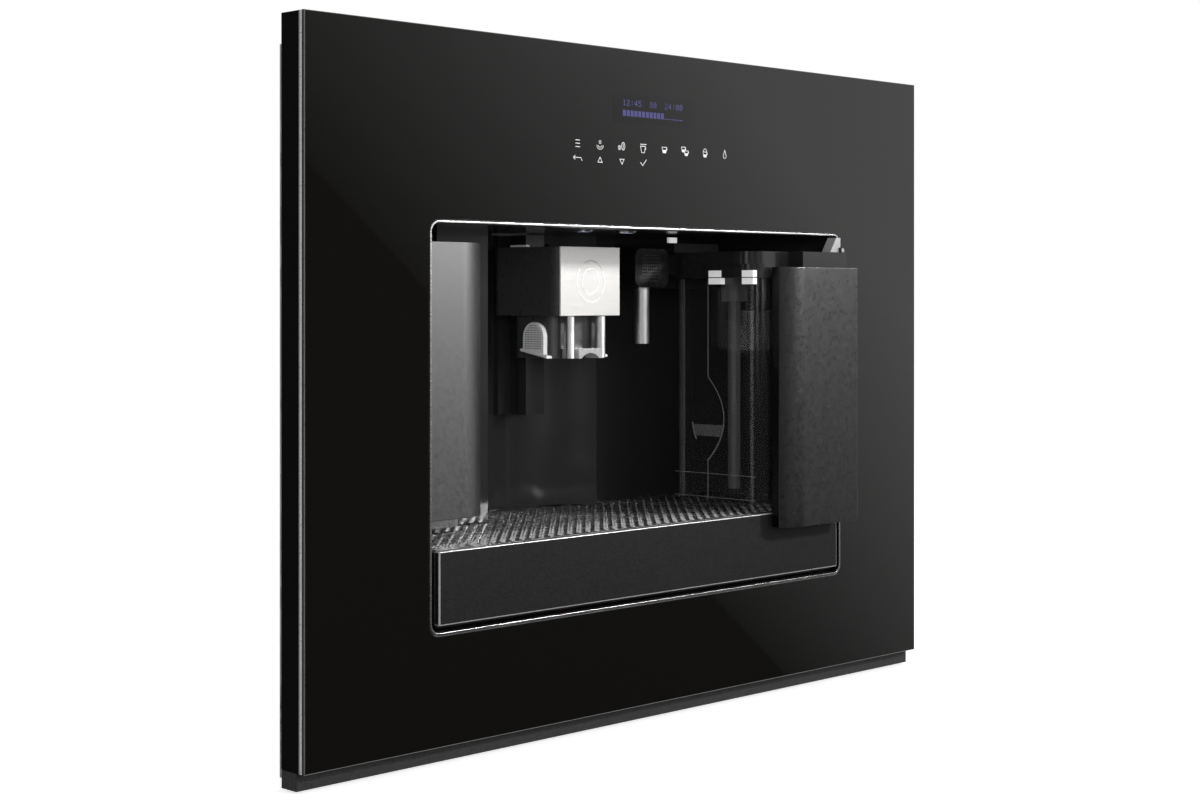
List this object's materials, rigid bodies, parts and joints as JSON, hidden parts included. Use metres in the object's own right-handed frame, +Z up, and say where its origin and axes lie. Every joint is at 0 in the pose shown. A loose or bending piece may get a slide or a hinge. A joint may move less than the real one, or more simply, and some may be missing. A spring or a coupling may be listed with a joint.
{
  "type": "built-in coffee machine",
  "caption": "Built-in coffee machine: black glass front with a niche, coffee spout, milk jug, drip tray, and a casing on telescopic rails.",
  "frame": {"origin": "on the cupboard shelf, midway between the four screws of the rail brackets", "axes": "+X to the right seen from the front, +Y into the cupboard, +Z up"},
  "size_m": [0.595, 0.4192, 0.456],
  "materials": {
    "front_glass": "black gloss glass",
    "frame_black": "black satin",
    "strip_plastic": "fine grain",
    "bright_trim": "polished edge",
    "liner_gloss": "gloss black",
    "door_silver": "satin grey metallic",
    "cover_dark": "dark metallic, fine grain",
    "tray_black": "matte",
    "polished_steel": "polished",
    "brushed": "vertical brushing",
    "chrome": "mirror",
    "grey_plastic": "satin grey",
    "clear_plastic": "clear",
    "lid_plastic": "dark gloss",
    "black_plastic": "matte",
    "sheet_steel": "zinc-coated sheet",
    "rail_steel": "plain steel",
    "board_green": "circuit board",
    "lamp_clear": "clear",
    "cast_metal": "cast",
    "pipe_clear": "silicone",
    "steel_dark": "ground",
    "tank_clear": "tinted clear",
    "hopper_smoke": "smoke clear"
  },
  "bodies": {
    "cupboard_rails": {"rail_brackets": "rail_steel", "rail_outer": "rail_steel"},
    "rail_carrier": {"rail_middle": "rail_steel"},
    "machine": {"rail_inner": "rail_steel", "glass_panel": "front_glass", "niche_trim": "bright_trim", "front_frame": "frame_black", "vent_strip": "strip_plastic", "display_module": "black_plastic", "touch_board": "board_green", "niche_liner": "liner_gloss", "cup_lights": "lamp_clear", "door_lugs": "black_plastic", "grounds_container": "black_plastic", "spout_guide": "black_plastic", "milk_dock": "black_plastic", "chassis_base": "sheet_steel", "side_panels": "sheet_steel", "rear_panel": "sheet_steel", "top_cover": "sheet_steel", "inner_deck": "sheet_steel", "casing_screws": "steel_dark", "brew_frame": "black_plastic", "brew_motor": "cast_metal", "grinder_motor": "cast_metal", "grinder_housing": "black_plastic", "ring_burr": "steel_dark", "bean_hopper": "hopper_smoke", "tank_cradle": "black_plastic", "boiler": "cast_metal", "pump": "cast_metal", "water_pipes": "pipe_clear", "control_board": "board_green", "power_inlet": "black_plastic", "switch_frame": "black_plastic"},
    "service_door": {"service_door": "door_silver"},
    "drip_tray": {"drip_tray": "tray_black", "tray_front": "tray_black", "tray_grille": "polished_steel"},
    "milk_jug": {"milk_tank": "clear_plastic", "milk_lid": "lid_plastic", "milk_cover": "cover_dark", "froth_unit": "grey_plastic", "intake_tube": "grey_plastic", "milk_spout_head": "black_plastic"},
    "milk_spout": {"milk_spout_tube": "chrome"},
    "lid_lever": {"lid_lever": "grey_plastic"},
    "coffee_spout": {"spout_housing": "black_plastic", "spout_plate": "brushed", "coffee_tubes": "chrome", "spout_bridge": "grey_plastic", "spout_grips": "grey_plastic"},
    "hopper_lid": {"hopper_lid": "black_plastic"},
    "grind_knob": {"grind_knob": "black_plastic"},
    "burr": {"burr": "steel_dark"},
    "brew_chamber": {"brew_chamber": "grey_plastic"},
    "lead_screw": {"lead_screw": "steel_dark"},
    "water_tank": {"water_tank": "tank_clear"},
    "tank_lid": {"tank_lid": "black_plastic"},
    "switch_rocker": {"switch_rocker": "black_plastic"}
  },
  "joints": [
    {"name": "machine_slide", "type": "slide", "parent": "cupboard_rails", "child": "machine", "axis": [0, -1, 0], "range_m": [0, 0.3]},
    {"name": "rail_slide", "type": "slide", "parent": "cupboard_rails", "child": "rail_carrier", "axis": [0, -1, 0], "range_m": [0, 0.15]},
    {"name": "service_door_hinge", "type": "hinge", "parent": "machine", "child": "service_door", "pos_m": [-0.1955, -0.1905, 0.236], "axis": [0, 0, -1], "range_deg": [0, 90]},
    {"name": "tray_slide", "type": "slide", "parent": "machine", "child": "drip_tray", "axis": [0, -1, 0], "range_m": [0, 0.13]},
    {"name": "jug_slide", "type": "slide", "parent": "drip_tray", "child": "milk_jug", "axis": [0, -1, 0], "range_m": [0, 0.1]},
    {"name": "milk_spout_slide", "type": "slide", "parent": "milk_jug", "child": "milk_spout", "axis": [0, 0, -1], "range_m": [0, 0.015]},
    {"name": "lid_lever_tip", "type": "hinge", "parent": "milk_jug", "child": "lid_lever", "pos_m": [0.188, -0.221, 0.324], "axis": [0, 1, 0], "range_deg": [0, 12]},
    {"name": "coffee_spout_slide", "type": "slide", "parent": "machine", "child": "coffee_spout", "axis": [0, 0, -1], "range_m": [0, 0.07]},
    {"name": "hopper_lid_hinge", "type": "hinge", "parent": "machine", "child": "hopper_lid", "pos_m": [-0.125, 0.109, 0.449], "axis": [-1, 0, 0], "range_deg": [0, 85]},
    {"name": "grind_knob_turn", "type": "hinge", "parent": "machine", "child": "grind_knob", "pos_m": [0, 0.06, 0.448], "axis": [0, 0, 1], "range_deg": [-150, 150]},
    {"name": "burr_spin", "type": "hinge", "parent": "machine", "child": "burr", "pos_m": [-0.125, 0.045, 0.305], "axis": [0, 0, 1], "continuous": true},
    {"name": "chamber_lift", "type": "slide", "parent": "machine", "child": "brew_chamber", "axis": [0, 0, 1], "range_m": [0, 0.065]},
    {"name": "lead_screw_turn", "type": "hinge", "parent": "machine", "child": "lead_screw", "pos_m": [-0.09, 0.03, 0.14], "axis": [0, 0, 1], "range_deg": [0, 2925]},
    {"name": "water_tank_lift", "type": "slide", "parent": "machine", "child": "water_tank", "axis": [0, 0, 1], "range_m": [0, 0.15]},
    {"name": "tank_lid_hinge", "type": "hinge", "parent": "water_tank", "child": "tank_lid", "pos_m": [0.232, 0.146, 0.4483], "axis": [-1, 0, 0], "range_deg": [0, 85]},
    {"name": "main_switch_rock", "type": "hinge", "parent": "machine", "child": "switch_rocker", "pos_m": [-0.13, 0.183, 0.06], "axis": [1, 0, 0], "range_deg": [-8, 8]}
  ],
  "couplings": [
    {"joint": "rail_slide", "follows": "machine_slide", "ratio": 0.5},
    {"joint": "lead_screw_turn", "follows": "chamber_lift", "rad_per_m": 785.4}
  ]
}
